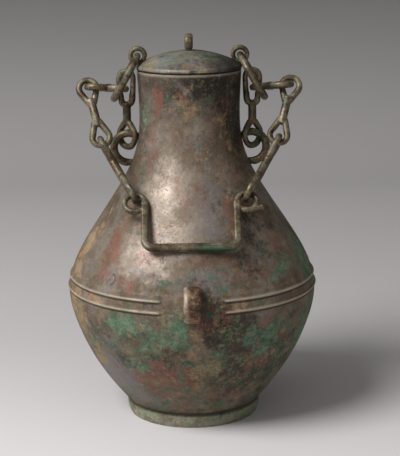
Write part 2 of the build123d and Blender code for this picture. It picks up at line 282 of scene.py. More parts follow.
# Where each colour lies on the flask: degrees right of the front, height, half width and half height in mm,
# and how thickly it lies there
PATCHES = {
    "clean": [
        (-20, 196, 26, 38, 1.0), (-30, 156, 24, 20, 0.9), (-16, 147, 24, 10, 0.8), (-6, 172, 30, 18, 1.0),
        (-30, 240, 16, 30, 0.5), (-52, 46, 32, 24, 0.8), (-64, 150, 16, 26, 0.5), (4, 178, 26, 16, 1.0),
    ],
    "slate": [
        (14, 196, 18, 30, 0.9), (-45, 82, 20, 11, 1.0), (2, 140, 34, 10, 1.0), (-49, 48, 36, 30, 1.6),
        (-25, 262, 9, 24, 0.8),
    ],
    # Soot right of the lug is its painted cast shadow and soot on the neck's right is painted shade; the
    # other soot patches are dark oxide
    "soot_and_shade": [
        (30, 284, 28, 26, 0.9), (0, 288, 26, 14, 0.8), (64, 270, 26, 40, 0.8), (40, 172, 22, 24, 0.6),
        (30, 148, 22, 14, 0.6), (11, 106, 16, 22, 2.1), (20, 95, 24, 24, 1.9), (36, 62, 44, 30, 1.4),
        (6, 118, 7, 15, 1.2), (-2, 60, 30, 16, 0.6), (-18, 126, 40, 6, 0.4),
    ],
    "red": [
        (-39, 262, 4, 30, 1.0), (-47, 233, 4, 20, 0.9), (-34, 276, 5, 12, 0.6), (27, 184, 5, 24, 1.0),
        (-47, 156, 10, 26, 1.2), (54, 154, 9, 18, 1.0), (-15, 50, 34, 20, 1.8), (33, 66, 20, 12, 1.2),
        (-12, 280, 5, 8, 0.8), (-34, 134, 22, 8, 0.8), (14, 112, 10, 8, 0.9), (36, 106, 14, 6, 0.9),
        (-8, 205, 20, 30, 0.4), (-20, 165, 26, 14, 0.5),
    ],
    "ochre": [
        (-10, 268, 17, 16, 0.6), (16, 228, 8, 10, 0.7), (37, 254, 5, 14, 0.7), (50, 238, 5, 10, 0.7),
        (-74, 150, 16, 34, 1.3), (-66, 97, 20, 28, 1.2), (-58, 120, 36, 6, 1.1), (-22, 98, 5, 6, 0.9),
        (1, 82, 9, 8, 0.8), (7, 64, 14, 12, 0.7), (19, 120, 18, 4, 1.1), (14, 145, 7, 4, 0.6),
        (-60, 66, 18, 16, 0.9), (30, 200, 10, 26, 0.4),
    ],
    "green": [
        (-32, 102, 24, 15, 1.1), (-19, 100, 16, 14, 1.0), (-7, 105, 10, 17, 1.2), (-10, 89, 13, 12, 1.1),
        (-21, 81, 18, 10, 0.9), (-31, 66, 16, 13, 0.8), (29, 93, 15, 17, 1.1), (39, 89, 16, 15, 1.1),
        (35, 76, 14, 10, 1.0), (70, 82, 24, 38, 1.0), (43, 135, 10, 8, 0.9), (53, 142, 9, 10, 0.8),
        (76, 138, 24, 28, 1.2), (-3, 139, 10, 6, 0.7), (14, 138, 8, 5, 0.7), (-60, 264, 7, 18, 0.8),
        (-10, 116, 12, 4, 0.9), (60, 40, 20, 20, 0.7),
    ],
}

# Soft dark patches given in the same way: painted shade on the neck's right, turned from the light, and the
# lug's painted cast shadow to its right; also darker at the neck's top, its left edge and top left
SHADE_AND_DARK_PATCHES = [
    (20, 296, 54, 36, 1.0), (66, 266, 28, 52, 1.0), (-66, 262, 16, 46, 0.5), (11, 104, 14, 22, 0.9),
    (-36, 290, 28, 20, 0.75),
]
# Middle of the struck crescent, in degrees right of the front and in metres, and its radius
CRESCENT_TURN, CRESCENT_Z, CRESCENT_R = -41.5, 136.5 * MM, 4.2 * MM


class Patina:
    """Fields that every bronze material shares, on object coordinates."""

    def __init__(self, name):
        self.material = bpy.data.materials.new(name)
        self.material.use_nodes = True
        self.material.node_tree.nodes.clear()
        self.g = g = Graph(self.material.node_tree)
        self.finish = bpy.context.scene.hu_finish
        self.at = g.add("ShaderNodeTexCoord", output="Object")
        self.x, self.y, self.z = g.parts(self.at)
        self.mottle = g.noise(self.at, 70.0, 6.0, 0.65, 3.1)
        self.grain = g.noise(self.at, 420.0, 4.0, 0.7, 7.7)
        self.speck = g.noise(self.at, 950.0, 2.0, 0.5, 11.3)

    def colour(self, name):
        return rgba(getattr(self.finish, name))

    def over(self, base, mask, name):
        """One of the finish colours over the others."""
        return self.g.blend(mask, base, self.colour(name))

    def attribute(self, name):
        """A number that the mesh carries at each point."""
        return self.g.add("ShaderNodeAttribute", output="Fac", attribute_name=name)

    def noise(self, scale, shift, detail=6.0, rough=0.66):
        return self.g.noise(self.at, scale, detail, rough, shift)

    def zone(self, centre_mm, reach_mm):
        """A soft patch round a point in space."""
        offset = self.g.vector("SUBTRACT", self.at, tuple(c * MM for c in centre_mm))
        scaled = self.g.vector("DIVIDE", offset, tuple(r * MM for r in reach_mm))
        return self.g.step(self.g.vector("LENGTH", scaled, (0, 0, 0), "Value"), 1.1, 0.3)

    def stain(self, bias, scale, shift, squeeze=1.0):
        """Flecks at every size that thicken as the bias goes from 0 to 1. A squeeze draws them out."""
        at = self.at if squeeze == 1.0 else self.g.vector("MULTIPLY", self.at, (1.0, 1.0, squeeze))
        texture = self.g.noise(at, scale, 8.0, 0.86, shift) + (self.grain - 0.5) * 0.22
        return self.g.step(texture + bias * 0.13, 0.53, 0.66)

    def shade(self, base, roughness, metallic, relief, strength, distance):
        """Ends the material in one shader."""
        normal = self.g.add(
            "ShaderNodeBump", {"Height": relief, "Strength": strength, "Distance": distance}
        )
        shader = self.g.add(
            "ShaderNodeBsdfPrincipled",
            {
                "Base Color": base,
                "Roughness": roughness,
                "Metallic": metallic,
                "Normal": normal,
                "Specular IOR Level": 0.3,
            },
        )
        self.g.add("ShaderNodeOutputMaterial", {"Surface": shader})
        return self.material


class FlaskPatina(Patina):
    """Adds places on the flask: an angle from the front and a height."""

    def __init__(self, name):
        super().__init__(name)
        g = self.g
        self.turn = g.add("ShaderNodeMath", {0: self.x, 1: 0.0 - self.y}, operation="ARCTAN2")
        self.girth = g.vector("LENGTH", g.join(self.x, self.y, 0.0), (0, 0, 0), "Value")
        self.drift = (self.noise(60.0, 20.0) - 0.5) * (45 * MM)
        self.lift = (self.noise(60.0, 24.0) - 0.5) * (45 * MM)
        self.behind = g.step(self.y, -0.03, 0.03)

    def patch(self, degrees, height_mm, half_width_mm, half_height_mm, weight):
        along = ((self.turn - radians(degrees)) * self.girth + self.drift) / (half_width_mm * MM)
        up = (self.z + self.lift - height_mm * MM) / (half_height_mm * MM)
        away = self.g.vector("LENGTH", self.g.join(along, up, 0.0), (0, 0, 0), "Value")
        return self.g.step(away, 1.3, 0.2) * weight

    def smear(self, degrees, height_mm, half_length_mm, half_width_mm, slant):
        """A rubbed streak that runs down to the right."""
        along = (self.turn - radians(degrees)) * self.girth + self.drift * 0.3
        up = self.z - height_mm * MM
        run = (along * cos(slant) - up * sin(slant)) / (half_length_mm * MM)
        across = (along * sin(slant) + up * cos(slant)) / (half_width_mm * MM)
        away = self.g.vector("LENGTH", self.g.join(run, across, 0.0), (0, 0, 0), "Value")
        return self.g.step(away, 1.3, 0.3)

    def spread(self, name, shift):
        """All patches of one colour, with like ones left to chance on the back."""
        total = self.behind * self.g.step(self.noise(14.0, shift, 3.0, 0.5), 0.5, 0.66)
        for patch in PATCHES[name]:
            total = self.g.most(total, self.patch(*patch))
        return total


def oxide_coat(p, clean, lower):
    """Satin metal under brown, grey and black oxide, with painted shade and a painted shadow over it. Also
    how polished it is.
    """
    g = p.g
    tone = p.noise(26.0, 1.0, 8.0, 0.75)
    polish = g.least(g.step(tone, 0.4, 0.64) * (0.7 - 0.5 * lower) + clean * 0.45, 1.0)
    base = g.blend(polish, p.colour("umber"), p.colour("bronze"))
    base = p.over(base, p.stain(p.spread("slate", 52.0) * 0.8 + 0.2, 44.0, 5.0) * 0.6, "slate")
    soot_and_shade = p.stain(p.spread("soot_and_shade", 53.0) + 0.1 + 0.35 * lower - 0.8 * clean, 58.0, 13.0)
    base = p.over(base, soot_and_shade * 0.8, "soot_and_shade")
    # painted shade on the neck's right and the lug's painted cast shadow, among the soft dark patches
    shaded = 0.0
    for patch in SHADE_AND_DARK_PATCHES:
        shaded = g.most(p.patch(*patch), shaded)
    return p.over(base, shaded * (0.62 + 0.6 * p.mottle), "soot_and_shade"), polish


def crust_coat(p, base, clean, lower, foot):
    """Red, earth and green over the oxide. Also the green alone and the whole crust."""
    g = p.g
    red = p.stain(p.spread("red", 54.0) + 0.12 - 0.3 * clean, 70.0, 31.0, 0.34)
    base = p.over(base, red * 0.62, "cuprite")
    ochre = p.stain(p.spread("ochre", 55.0) + lower * 0.2 - 0.5 * clean, 74.0, 17.0)
    base = p.over(base, ochre * 0.62, "ochre")
    green_bias = g.most(p.spread("green", 56.0), g.most(lower * 0.35, foot * 0.5)) - 0.6 * clean
    green = p.stain(green_bias, 66.0, 41.0)
    base = p.over(base, green * 0.78, "malachite")
    bloom = p.stain(green_bias * 0.75 + foot * 0.3, 150.0, 47.0)
    base = p.over(base, bloom * 0.5, "verdigris")
    return base, green, g.most(green, g.most(ochre, bloom) * 0.8)


def foot_coat(p, base, foot):
    """The foot ring: pale and green, brown in places, and greener at the right, where the pale green is also
    painted light on the side in shade.
    """
    base = p.over(base, foot * p.stain(1.0, 90.0, 71.0) * 0.6, "worn")
    base = p.over(base, foot * p.stain(0.9, 70.0, 73.0) * 0.6, "verdigris")
    base = p.over(base, foot * p.stain(0.5, 80.0, 77.0) * 0.6, "umber")
    # greener at the right; the pale green there is also painted light on the foot's shaded side
    return p.over(base, foot * p.g.step(p.x, 0.02, 0.05) * 0.5, "verdigris")


def wear_coat(p, base, clean, green):
    """Pores, spots, bright flecks, painted shade in the corners and rubbed crests. Also the pores alone."""
    g = p.g
    pores = g.step(p.noise(620.0, 61.0, 3.0), 0.4, 0.3)
    base = p.over(base, pores * 0.4, "soot_and_shade")
    base = p.over(base, g.step(p.noise(190.0, 63.0, 5.0), 0.6, 0.72) * 0.3, "ochre")
    specks = g.step(p.noise(240.0, 67.0, 5.0, 0.8), 0.54, 0.66)
    base = p.over(base, specks * (0.38 - 0.25 * clean + 0.2 * green), "soot_and_shade")
    base = p.over(base, g.step(p.grain, 0.54, 0.7) * (0.1 + 0.3 * clean), "worn")
    # painted shade: the dark lines below the bands, under the lid's rim and above the foot's ledge
    base = p.over(base, p.attribute("shade_lines") * 0.75, "soot_and_shade")
    return p.over(base, p.attribute("crest") * (0.2 + 0.8 * p.mottle), "worn"), pores


def struck_crescent(p):
    """A small crescent struck into the left shoulder."""
    g = p.g
    along = (p.turn - radians(CRESCENT_TURN)) * p.girth
    from_middle = g.vector("LENGTH", g.join(along, p.z - CRESCENT_Z, 0.0), (0, 0, 0), "Value")
    line = g.step(g.size(from_middle - CRESCENT_R), 1.1 * MM, 0.4 * MM)
    return line * g.step(along, -0.6 * MM, 1.2 * MM)


def vessel_bronze():
    """Flask: satin neck and shoulder with red streaks, green and earth on the lower belly."""
    p = FlaskPatina("vessel_bronze")
    g = p.g
    lower = g.step(p.z, 0.128, 0.09)
    foot = g.step(p.z, 0.0135, 0.0105)
    clean = p.spread("clean", 51.0)
    base, polish = oxide_coat(p, clean, lower)
    base, green, crust = crust_coat(p, base, clean, lower, foot)
    base = foot_coat(p, base, foot)
    smear = p.smear(-6, 287, 12, 2.6, 0.75)
    base = p.over(base, smear * (0.1 + 0.55 * p.mottle), "slate")
    base, pores = wear_coat(p, base, clean, green)
    crescent = struck_crescent(p)
    base = p.over(base, crescent * 0.55, "soot_and_shade")
    roughness = 0.385 + 0.16 * p.grain + 0.3 * crust + 0.1 * (1.0 - polish)
    metallic = 0.58 * (1.0 - crust) * (0.4 + 0.6 * polish)
    relief = p.mottle * (0.8 - 0.4 * clean) + p.grain * (0.3 + 0.4 * crust) + crust * 0.35
    relief = relief - pores * 0.3 - crescent * 0.5
    return p.shade(base, roughness, metallic, relief, 0.5, 0.0011)


def lid_bronze():
    """Lid: grey green, brown towards the front, with a painted highlight along the left of its rim, painted
    shade on its right and a painted shadow at the foot of the rim.
    """
    p = Patina("lid_bronze")
    g = p.g
    girth = g.vector("LENGTH", g.join(p.x, p.y, 0.0), (0, 0, 0), "Value")
    tone = p.noise(40.0, 1.0)
    base = g.blend(g.step(tone, 0.36, 0.62), p.colour("umber"), p.colour("slate"))
    green = p.stain(p.zone((-18, -12, 310), (34, 44, 20)) * 0.9 + 0.35, 60.0, 5.0)
    base = p.over(base, green * 0.26, "verdigris")
    base = p.over(base, p.stain(p.zone((20, -10, 310), (24, 30, 16)) + 0.2, 60.0, 9.0) * 0.3, "malachite")
    earthy = g.most(p.zone((4, -42, 303), (30, 12, 7)), p.zone((-34, -14, 306), (14, 24, 9)))
    base = p.over(base, p.stain(earthy, 90.0, 13.0) * 0.45, "ochre")
    # painted shade: the lid darker on its right, away from the light
    base = p.over(base, p.zone((46, -16, 304), (34, 46, 14)) * 0.8, "soot_and_shade")
    base = p.over(base, p.stain(0.55, 50.0, 21.0) * 0.6, "soot_and_shade")
    base = p.over(base, g.step(p.speck, 0.6, 0.7) * 0.35, "soot_and_shade")
    # painted highlight: the rim pale only on its left, lit side
    rim = g.step(girth, 0.0425, 0.0436) * g.step(p.z, 0.2996, 0.3002)
    base = p.over(base, rim * g.step(p.x, 0.026, -0.01) * (0.4 * p.mottle), "worn")
    # painted shadow: dark along the foot of the rim, where it sits on the mouth
    base = p.over(base, g.step(p.z, 0.2998, 0.2992) * 0.85, "soot_and_shade")
    roughness = 0.42 + 0.2 * green + 0.12 * p.grain
    metallic = 0.5 * (1.0 - green * 0.7)
    relief = p.mottle * 0.8 + p.grain * 0.4
    return p.shade(base, roughness, metallic, relief, 0.45, 0.0009)


def chain_bronze(name, green_share):
    """Links, rings, ears and bail: dark in the hollows, rubbed pale on the crests."""
    p = Patina(name)
    g = p.g
    crest = p.attribute("crest")
    base = g.blend(g.step(p.mottle, 0.45, 0.72) * 0.6, p.colour("umber"), p.colour("bronze"))
    green = p.stain(green_share, 60.0, 5.0)
    base = p.over(base, green * 0.36, "verdigris")
    base = p.over(base, p.stain(0.6, 75.0, 13.0) * 0.75, "soot_and_shade")
    base = p.over(base, p.stain(0.35, 110.0, 17.0) * 0.35, "ochre")
    grip_green = p.stain(p.zone((20, -91, 163), (20, 9, 6)) * 1.3, 80.0, 23.0)
    base = p.over(base, grip_green * 0.8, "malachite")
    base = p.over(base, g.step(crest, 0.56, 0.38) * 0.95, "soot_and_shade")
    base = p.over(base, g.step(crest, 0.62, 0.85) * 0.25, "worn")
    roughness = 0.36 + 0.16 * green + 0.16 * p.grain
    metallic = 0.72 * (1.0 - green * 0.6)
    relief = p.mottle * 0.7 + p.grain * 0.5
    return p.shade(base, roughness, metallic, relief, 0.4, 0.0008)


def lug_bronze():
    """Lug: red brown and pitted, with a painted highlight on the crests of its left side."""
    p = Patina("lug_bronze")
    g = p.g
    crest = p.attribute("crest")
    base = p.over(p.colour("umber"), p.stain(0.9, 90.0, 31.0) * 0.6, "cuprite")
    base = p.over(base, p.stain(1.0, 110.0, 13.0) * 0.85, "soot_and_shade")
    base = p.over(base, p.stain(0.5, 130.0, 17.0) * 0.6, "ochre")
    # painted highlight: the pale rubbed colour only on the crests of the lug's left side, where the light
    # falls
    left = g.step(p.x, -0.0015, -0.0055)
    base = p.over(base, left * g.step(crest, 0.48, 0.56) * g.step(p.mottle, 0.3, 0.75), "worn")
    roughness = 0.46 + 0.2 * p.grain
    relief = p.mottle + p.grain * 0.8
    return p.shade(base, roughness, 0.4, relief, 0.6, 0.0012)


# Geometry trees

def socket(tree, name, kind, way="INPUT"):
    return tree.interface.new_socket(name=name, in_out=way, socket_type=kind)


def new_geometry_tree(name, sockets):
    """An empty tree with a geometry socket at each end and named inputs between."""
    tree = bpy.data.node_groups.new(name, "GeometryNodeTree")
    socket(tree, "Geometry", "NodeSocketGeometry")
    for label, kind in sockets:
        socket(tree, label, kind)
    socket(tree, "Geometry", "NodeSocketGeometry", "OUTPUT")
    g = Graph(tree)
    entry = g.add("NodeGroupInput")
    inputs = {s.name: Field(g, s) for s in entry.socket.node.outputs if s.name}
    return g, inputs


def end_geometry_tree(g, geometry, material):
    """Realises, smooths and names the metal."""
    real = g.add("GeometryNodeRealizeInstances", {0: geometry})
    smooth = g.add("GeometryNodeSetShadeSmooth", {"Geometry": real})
    metal = g.add("GeometryNodeSetMaterial", {"Geometry": smooth, "Material": material})
    g.add("NodeGroupOutput", {0: metal})


def store(g, geometry, name, value):
    return g.add(
        "GeometryNodeStoreNamedAttribute",
        {"Geometry": geometry, "Name": name, "Value": value},
        data_type="FLOAT",
        domain="POINT",
    )


def lathe_tree():
    """Turns a half section about Z: each vertex of the section becomes a row."""
    g, given = new_geometry_tree(
        "turned_flask",
        [
            ("Rows", "NodeSocketInt"),
            ("Columns", "NodeSocketInt"),
            ("Wave Height", "NodeSocketFloat"),
            ("Band Upper", "NodeSocketFloat"),
            ("Band Lower", "NodeSocketFloat"),
            ("Band Width", "NodeSocketFloat"),
            ("Band Rise", "NodeSocketFloat"),
            ("Band Break", "NodeSocketFloat"),
            ("Inner Row", "NodeSocketInt"),
            ("Material", "NodeSocketMaterial"),
        ],
    )
    grid = g.add(
        "GeometryNodeMeshGrid",
        {"Size X": 1.0, "Size Y": 1.0, "Vertices X": given["Rows"], "Vertices Y": given["Columns"]},
    )
    u, v, _ = g.parts(g.add("GeometryNodeInputPosition"))
    row = g.add("ShaderNodeMath", {0: (u + 0.5) * (given["Rows"] - 1.0)}, operation="ROUND")
    turn = (v + 0.5) * (2.0 * pi)
    section = g.add(
        "GeometryNodeSampleIndex",
        {"Geometry": given["Geometry"], "Value": g.add("GeometryNodeInputPosition"), "Index": row},
        data_type="FLOAT_VECTOR",
        domain="POINT",
    )
    radius, _, height = g.parts(section)
    # Bands, with the wall left plain at the front
    sine = g.add("ShaderNodeMath", {0: turn}, operation="SINE")
    cosine = g.add("ShaderNodeMath", {0: turn}, operation="COSINE")
    from_front = g.add("ShaderNodeMath", {0: g.size(cosine), 1: 0.0 - sine}, operation="ARCTAN2")
    half_break = given["Band Break"] * 0.5
    shown = g.step(from_front, half_break - 0.012, half_break + 0.03)
    outer = g.step(row, given["Inner Row"] + 1.0, given["Inner Row"])
    ridge = 0.0
    # painted shade: a dark line just below each band
    band_shade = 0.0
    for band in ("Band Upper", "Band Lower"):
        across = (height - given[band]) / (given["Band Width"] * 0.5)
        ridge = g.most(1.0 - across * across, 0.0) + ridge
        band_shade = g.step(g.size(across + 1.25), 0.75, 0.2) + band_shade
    ridge = ridge * shown * outer
    raised = radius + ridge * given["Band Rise"]
    # A wall that was never quite round
    plain = g.join(radius * cosine, radius * sine, height)
    wave = g.noise(plain, 9.0, 2.0, 0.5, 2.0) - 0.5
    ripple = g.noise(plain, 42.0, 2.0, 0.5, 5.0) - 0.5
    above_foot = g.step(height, 0.012, 0.03) * g.step(height, 0.2975, 0.285)
    uneven = (wave * 1.6 + ripple * 0.35) * given["Wave Height"] * above_foot * outer
    uneven = uneven + ripple * 1.5 * given["Wave Height"] * g.step(height, 0.0125, 0.0095) * outer
    raised = raised + uneven
    place = g.join(raised * cosine, raised * sine, height)
    lip = g.step(height, 0.2955, 0.2966) * g.step(height, 0.2981, 0.2975) * outer
    worn = g.most(g.step(ridge, 0.5, 0.95), lip * 0.8)
    # painted shade: dark lines just under the lid's rim, in the recess above the foot's ledge and below each
    # band
    under_lid = g.step(height, 0.2976, 0.2982)
    above_ledge = g.step(g.size(height - 0.0122), 0.0026, 0.0008)
    painted_shade_lines = g.most(g.most(under_lid, above_ledge) * outer, band_shade * shown * outer)
    flask = store(g, grid, "crest", worn)
    flask = store(g, flask, "shade_lines", painted_shade_lines)
    flask = g.add("GeometryNodeSetPosition", {"Geometry": flask, "Position": place})
    flask = g.add("GeometryNodeMergeByDistance", {"Geometry": flask, "Distance": 1e-6})
    end_geometry_tree(g, flask, given["Material"])
    return g.tree


def cast_tree():
    """Softens a remeshed solid, roughens it and marks its crests and hollows."""
    g, given = new_geometry_tree(
        "cast_skin",
        [
            ("Blur", "NodeSocketInt"),
            ("Swell", "NodeSocketFloat"),
            ("Spare", "NodeSocketFloat"),
            ("Held", "NodeSocketFloat"),
            ("Wave Scale", "NodeSocketFloat"),
            ("Wave Height", "NodeSocketFloat"),
            ("Grain Scale", "NodeSocketFloat"),
            ("Grain Height", "NodeSocketFloat"),
            ("Shift", "NodeSocketFloat"),
            ("Crest Reach", "NodeSocketFloat"),
            ("Material", "NodeSocketMaterial"),
        ],
    )
    position = g.add("GeometryNodeInputPosition")
    soft = g.add(
        "GeometryNodeBlurAttribute",
        {"Value": position, "Iterations": given["Blur"]},
        data_type="FLOAT_VECTOR",
    )
    skin = g.add("GeometryNodeSetPosition", {"Geometry": given["Geometry"], "Position": soft})
    wave = g.noise(position, given["Wave Scale"], 2.0, 0.5, given["Shift"]) - 0.5
    grain = g.noise(position, given["Grain Scale"], 3.0, 0.6, given["Shift"] + 9.0) - 0.5
    room = g.add("GeometryNodeInputNamedAttribute", {"Name": "room"}, data_type="FLOAT")
    even = g.add("GeometryNodeBlurAttribute", {"Value": room, "Iterations": 5}, data_type="FLOAT")
    free = g.step(even, NEAR, CLEAR)
    swell = (given["Swell"] + wave * given["Wave Height"]) * (1.0 - given["Held"] * (1.0 - free))
    rise = swell + given["Spare"] * free + grain * given["Grain Height"]
    outward = g.add("GeometryNodeInputNormal")
    offset = g.add("ShaderNodeVectorMath", {0: outward, "Scale": rise}, operation="SCALE")
    skin = g.add("GeometryNodeSetPosition", {"Geometry": skin, "Offset": offset})
    wide = g.add(
        "GeometryNodeBlurAttribute",
        {"Value": position, "Iterations": 14},
        data_type="FLOAT_VECTOR",
    )
    drop = g.vector("SUBTRACT", position, wide)
    bulge = g.vector("DOT_PRODUCT", drop, outward, "Value")
    crest = g.least(g.most(0.5 + bulge / given["Crest Reach"], 0.0), 1.0)
    skin = store(g, skin, "crest", crest)
    end_geometry_tree(g, skin, given["Material"])
    return g.tree


def tree_named(name, maker):
    return bpy.data.node_groups.get(name) or maker()


def set_inputs(modifier, values):
    """Sets a geometry modifier's inputs by their sockets' identifiers."""
    for item in modifier.node_group.interface.items_tree:
        if item.in_out == "INPUT" and item.name in values:
            modifier[item.identifier] = values[item.name]


def settle(obj):
    """Turns what the modifiers make into the object's own plain mesh."""
    bpy.context.view_layer.update()
    depsgraph = bpy.context.evaluated_depsgraph_get()
    mesh = bpy.data.meshes.new_from_object(obj.evaluated_get(depsgraph), depsgraph=depsgraph)
    obj.modifiers.clear()
    obj.data = mesh
    mesh.name = obj.name


def link(name, data):
    """An object of the scene that holds a mesh, a light or a camera."""
    obj = bpy.data.objects.new(name, data)
    bpy.context.scene.collection.objects.link(obj)
    return obj


def stand_for(obj, *nodes):
    """The piece takes the place and body of its nodes, which are hidden."""
    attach(obj, NODE_BODY[nodes[0]])
    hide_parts(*nodes)


# Flask

def hit_radius(start, direction):
    """Distance from the axis where a ray meets the flask."""
    for node in FLASK:
        found, point, _, _ = frame["nodes"][node].ray_cast(Vector(start), Vector(direction))
        if found:
            return -point.y
    raise RuntimeError(f"no wall of the flask at {start}")


def eased(values, passes):
    """Evens out the small flats of a measured curve, with its ends held."""
    for _ in range(passes):
        inner = [
            0.25 * before + 0.5 * here + 0.25 * after
            for before, here, after in zip(values, values[1:], values[2:])
        ]
        values = [values[0], *inner, values[-1]]
    return values


def heights(low, high, step):
    count = max(1, round((high - low) / step))
    return [low + (high - low) * i / count for i in range(count)]


# Half the foot ring's height, its fullness there and its fall to the edges
FOOT_HALF, FOOT_FULL, FOOT_FALL = 5.3 * MM, 0.5 * MM, 1.1 * MM
# Heights of the foot's lowest row, of the belly's foot, of the hollow under it and of the floor inside
FOOT_LOW, BELLY_FOOT, HOLLOW_TOP, FLOOR_TOP = 0.3 * MM, 14.0 * MM, 8.0 * MM, 15.0 * MM
# How far the lip's rounding reaches down
LIP_DEPTH = 1.2 * MM
# Distance from a band's crest within which the rows lie close together
BAND_MARGIN = 5.0 * MM
# Distance between rows on the foot, the plain wall, the bands and the inside
FOOT_ROW, WALL_ROW, BAND_ROW, INSIDE_ROW = 0.55 * MM, 2.1 * MM, 0.42 * MM, 8.0 * MM


def foot_roll(z):
    """The foot ring is full at half its height and rolled in at its edges."""
    across = (z - FOOT_HALF) / FOOT_HALF
    return FOOT_FULL - FOOT_FALL * across * across if abs(across) < 1 else 0.0


def outer_radius(z):
    return hit_radius((0, -0.3, z), (0, 1, 0))


def inner_radius(z):
    return hit_radius((0, 0, z), (0, -1, 0))


def flask_section(shape):
    """Half section of the flask as rows of (radius, height), from under the floor,
    up the outside and down the inside. Also the row where the inside begins."""
    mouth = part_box("vessel_neck")[1].z
    # Hollow under the floor, and the edge that it stands on
    hollow = inner_radius(HOLLOW_TOP / 2)
    rows = [(0.0, HOLLOW_TOP), (hollow * 0.6, HOLLOW_TOP), (hollow, HOLLOW_TOP)]
    rows += [(hollow, 0.8 * MM), (hollow + 0.8 * MM, 0.0), (outer_radius(FOOT_LOW) - 0.7 * MM, 0.0)]
    # Outside
    rows += [(outer_radius(z) + foot_roll(z), z) for z in heights(FOOT_LOW, BELLY_FOOT, FOOT_ROW)]
    band_low, band_high = shape.band_lower - BAND_MARGIN, shape.band_upper + BAND_MARGIN
    wall = heights(BELLY_FOOT, band_low, WALL_ROW)
    wall += heights(band_low, band_high, BAND_ROW)
    wall += heights(band_high, mouth - LIP_DEPTH, WALL_ROW)
    rows += list(zip(eased([outer_radius(z) for z in wall], 6), wall))
    lip = outer_radius(mouth - LIP_DEPTH)
    rows += [(lip, mouth - LIP_DEPTH), (lip - 0.25 * MM, mouth - 0.5 * MM)]
    rows.append((lip - 0.9 * MM, mouth - 0.1 * MM))
    # Inside
    inner_row = len(rows)
    inside = inner_radius(mouth - 1 * MM)
    rows += [(inside + 0.6 * MM, mouth - 0.1 * MM), (inside, mouth - 0.8 * MM)]
    down = list(reversed(heights(FLOOR_TOP + 6 * MM, mouth - 3 * MM, INSIDE_ROW)))
    rows += list(zip(eased([inner_radius(z) for z in down], 2), down))
    last = rows[-1][0]
    rows += [(last * 0.86, FLOOR_TOP + 1.6 * MM), (last * 0.6, FLOOR_TOP), (0.0, FLOOR_TOP)]
    return rows, inner_row


class HU_OT_vessel(Operator):
    """Turns the flask from its half section, with its bands"""

    bl_idname = "hu.vessel"
    bl_label = "Flask"

    def execute(self, context):
        shape = context.scene.hu_shape
        rows, inner_row = flask_section(shape)
        mesh = bpy.data.meshes.new("flask_section")
        mesh.from_pydata([(r, 0.0, z) for r, z in rows], [], [])
        flask = link("flask", mesh)
        turn = flask.modifiers.new("Turned", "NODES")
        turn.node_group = tree_named("turned_flask", lathe_tree)
        set_inputs(
            turn,
            {
                "Rows": len(rows),
                "Columns": shape.columns + 1,
                "Wave Height": shape.wave_height,
                "Band Upper": shape.band_upper,
                "Band Lower": shape.band_lower,
                "Band Width": shape.band_width,
                "Band Rise": shape.band_rise,
                "Band Break": shape.band_break,
                "Inner Row": inner_row,
                "Material": vessel_bronze(),
            },
        )
        settle(flask)
        stand_for(flask, *FLASK)
        return {"FINISHED"}


# Cast pieces

# A wire keeps its size where another piece comes within NEAR, and may be fuller from CLEAR on
NEAR, CLEAR = 1.0 * MM, 3.6 * MM
CELL = 1.3 * MM


def motion(joint, value):
    """A joint's own motion, as a matrix in the rest frame."""
    axis = Vector(joint["axis"])
    if joint["type"] == "slide":
        return Matrix.Translation(axis * value)
    pivot = Matrix.Translation(joint["pos_m"])
    return pivot @ Matrix.Rotation(value, 4, axis) @ pivot.inverted()


def highest(joint):
    return joint["range_m"][1] if joint["type"] == "slide" else radians(joint["range_deg"][1])


def places_with(raised):
    """Each body's place when the joints named are at their upper limits."""
    values = {j["name"]: highest(j) if j["name"] in raised else 0.0 for j in frame["joints"]}
    for pair in COUPLINGS:
        values[pair["joint"]] = values[pair["follows"]] * pair["ratio"]
    places = {frame["joints"][0]["parent"]: Matrix.Identity(4)}
    for joint in frame["joints"]:
        places[joint["child"]] = places[joint["parent"]] @ motion(joint, values[joint["name"]])
    return places


@cache
def all_places():
    """The bodies at rest, with each free joint at its limit, and with all of them there."""
    followers = [pair["joint"] for pair in COUPLINGS]
    free = [j["name"] for j in frame["joints"] if j["name"] not in followers]
    return [places_with(raised) for raised in ([], *([name] for name in free), free)]


@cache
def surface_of(node):
    mesh = frame["nodes"][node].data
    return BVHTree.FromPolygons([v.co for v in mesh.vertices], [p.vertices for p in mesh.polygons])


@cache
def reach_of(node):
    """Corners of a node's box, let out by CLEAR."""
    low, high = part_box(node)
    margin = Vector((CLEAR, CLEAR, CLEAR))
    return low - margin, high + margin


def neighbours(node):
    """Each piece that comes near a node, with the matrix from the node's place to that piece's."""
    low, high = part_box(node)
    corners = [Vector((x, y, z)) for x in (low.x, high.x) for y in (low.y, high.y) for z in (low.z, high.z)]
    found = {}
    for places in all_places():
        for other in frame["nodes"]:
            way = places[NODE_BODY[other]].inverted() @ places[NODE_BODY[node]]
            key = other, *(round(value, 6) for row in way for value in row)
            if other == node or key in found:
                continue
            moved = [way @ corner for corner in corners]
            least, most = reach_of(other)
            if all(
                min(c[i] for c in moved) < most[i] and max(c[i] for c in moved) > least[i]
                for i in range(3)
            ):
                found[key] = surface_of(other), way, tuple(least), tuple(most)
    return list(found.values())


